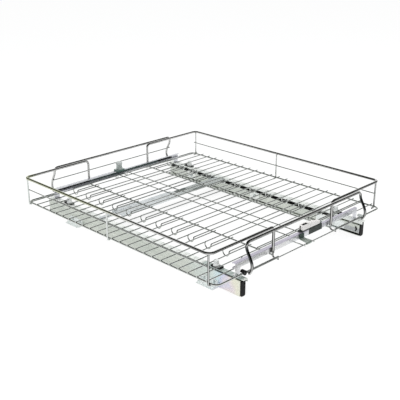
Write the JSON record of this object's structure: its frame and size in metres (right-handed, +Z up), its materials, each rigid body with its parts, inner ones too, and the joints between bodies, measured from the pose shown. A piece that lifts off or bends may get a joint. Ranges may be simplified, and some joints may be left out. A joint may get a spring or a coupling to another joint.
{
  "type": "pull out cabinet basket",
  "caption": "Chromed wire pull-out cabinet basket whose three sections telescope in width, on ball-bearing slides with screw-down feet.",
  "frame": {"origin": "middle of the bounding box on the cabinet floor that the feet stand on", "axes": "+X across the width to the right as seen from the front, -Y to the front where the basket pulls out, +Z up"},
  "size_m": [0.474, 0.5488, 0.0945],
  "materials": {
    "chrome_wire": "bright chrome plate",
    "zinc_sheet": "bright zinc plate",
    "pale_zinc": "pale zinc plate",
    "pale_plastic": "glossy pale grey",
    "black_plastic": "satin black",
    "rubber": "matte black",
    "bearing_steel": "polished"
  },
  "bodies": {
    "left_runner": {"left_channel": "zinc_sheet", "left_front_foot": "pale_zinc", "left_rear_foot": "pale_zinc", "left_foot_rivets": "zinc_sheet"},
    "right_runner": {"right_channel": "zinc_sheet", "right_front_foot": "pale_zinc", "right_rear_foot": "pale_zinc", "right_foot_rivets": "zinc_sheet"},
    "left_cage": {"left_ball_cage": "black_plastic", "left_balls": "bearing_steel"},
    "right_cage": {"right_ball_cage": "black_plastic", "right_balls": "bearing_steel"},
    "basket_left": {"left_inner_slide": "zinc_sheet", "left_carrier": "zinc_sheet", "left_carrier_screws": "zinc_sheet", "left_clips": "pale_plastic", "left_clip_pads": "rubber", "left_bumper": "rubber", "left_channel_cap": "black_plastic", "left_channel_stop": "black_plastic", "left_rail": "chrome_wire", "left_posts": "chrome_wire", "left_side_wire": "chrome_wire", "left_rim": "chrome_wire", "left_floor": "chrome_wire", "front_bar_sleeve": "zinc_sheet", "middle_bar_sleeve": "zinc_sheet", "rear_bar_sleeve": "zinc_sheet", "front_lock_housing": "black_plastic", "rear_lock_body": "zinc_sheet"},
    "basket_centre": {"front_hoop": "chrome_wire", "rear_hoop": "chrome_wire", "front_base_wire": "chrome_wire", "rear_base_wire": "chrome_wire", "rear_back_wire": "chrome_wire", "hairpin_floor": "chrome_wire"},
    "basket_right": {"right_inner_slide": "zinc_sheet", "right_carrier": "zinc_sheet", "right_carrier_screws": "zinc_sheet", "right_clips": "pale_plastic", "right_clip_pads": "rubber", "right_bumper": "rubber", "right_channel_cap": "black_plastic", "right_channel_stop": "black_plastic", "right_rail": "chrome_wire", "right_posts": "chrome_wire", "right_side_wire": "chrome_wire", "right_rim": "chrome_wire", "right_floor": "chrome_wire", "right_guide_wire": "chrome_wire", "front_bar_slider": "zinc_sheet", "middle_bar_slider": "zinc_sheet", "rear_bar_slider": "zinc_sheet"},
    "lock_lever": {"front_lock_lever": "pale_plastic"},
    "lock_knob": {"rear_lock_knob": "pale_plastic"}
  },
  "joints": [
    {"name": "pull_out", "type": "slide", "parent": "left_runner", "child": "basket_left", "axis": [0, -1, 0], "range_m": [0, 0.37]},
    {"name": "width_slide", "type": "slide", "parent": "left_runner", "child": "right_runner", "axis": [1, 0, 0], "range_m": [-0.1, 0.04]},
    {"name": "centre_width", "type": "slide", "parent": "basket_left", "child": "basket_centre", "axis": [1, 0, 0], "range_m": [-0.05, 0.02]},
    {"name": "right_width", "type": "slide", "parent": "basket_centre", "child": "basket_right", "axis": [1, 0, 0], "range_m": [-0.05, 0.02]},
    {"name": "left_cage_run", "type": "slide", "parent": "left_runner", "child": "left_cage", "axis": [0, -1, 0], "range_m": [0, 0.185]},
    {"name": "right_cage_run", "type": "slide", "parent": "right_runner", "child": "right_cage", "axis": [0, -1, 0], "range_m": [0, 0.185]},
    {"name": "width_lever", "type": "hinge", "parent": "basket_left", "child": "lock_lever", "pos_m": [0.0052, -0.2423, 0.0618], "axis": [0, -1, 0], "range_deg": [0, 80]},
    {"name": "clamp_knob", "type": "hinge", "parent": "basket_left", "child": "lock_knob", "pos_m": [-0.008, 0.24, 0.07], "axis": [0, 0, 1], "range_deg": [0, 270]}
  ],
  "couplings": [
    {"joint": "centre_width", "follows": "width_slide", "ratio": 0.5},
    {"joint": "right_width", "follows": "width_slide", "ratio": 0.5},
    {"joint": "left_cage_run", "follows": "pull_out", "ratio": 0.5},
    {"joint": "right_cage_run", "follows": "pull_out", "ratio": 0.5}
  ]
}
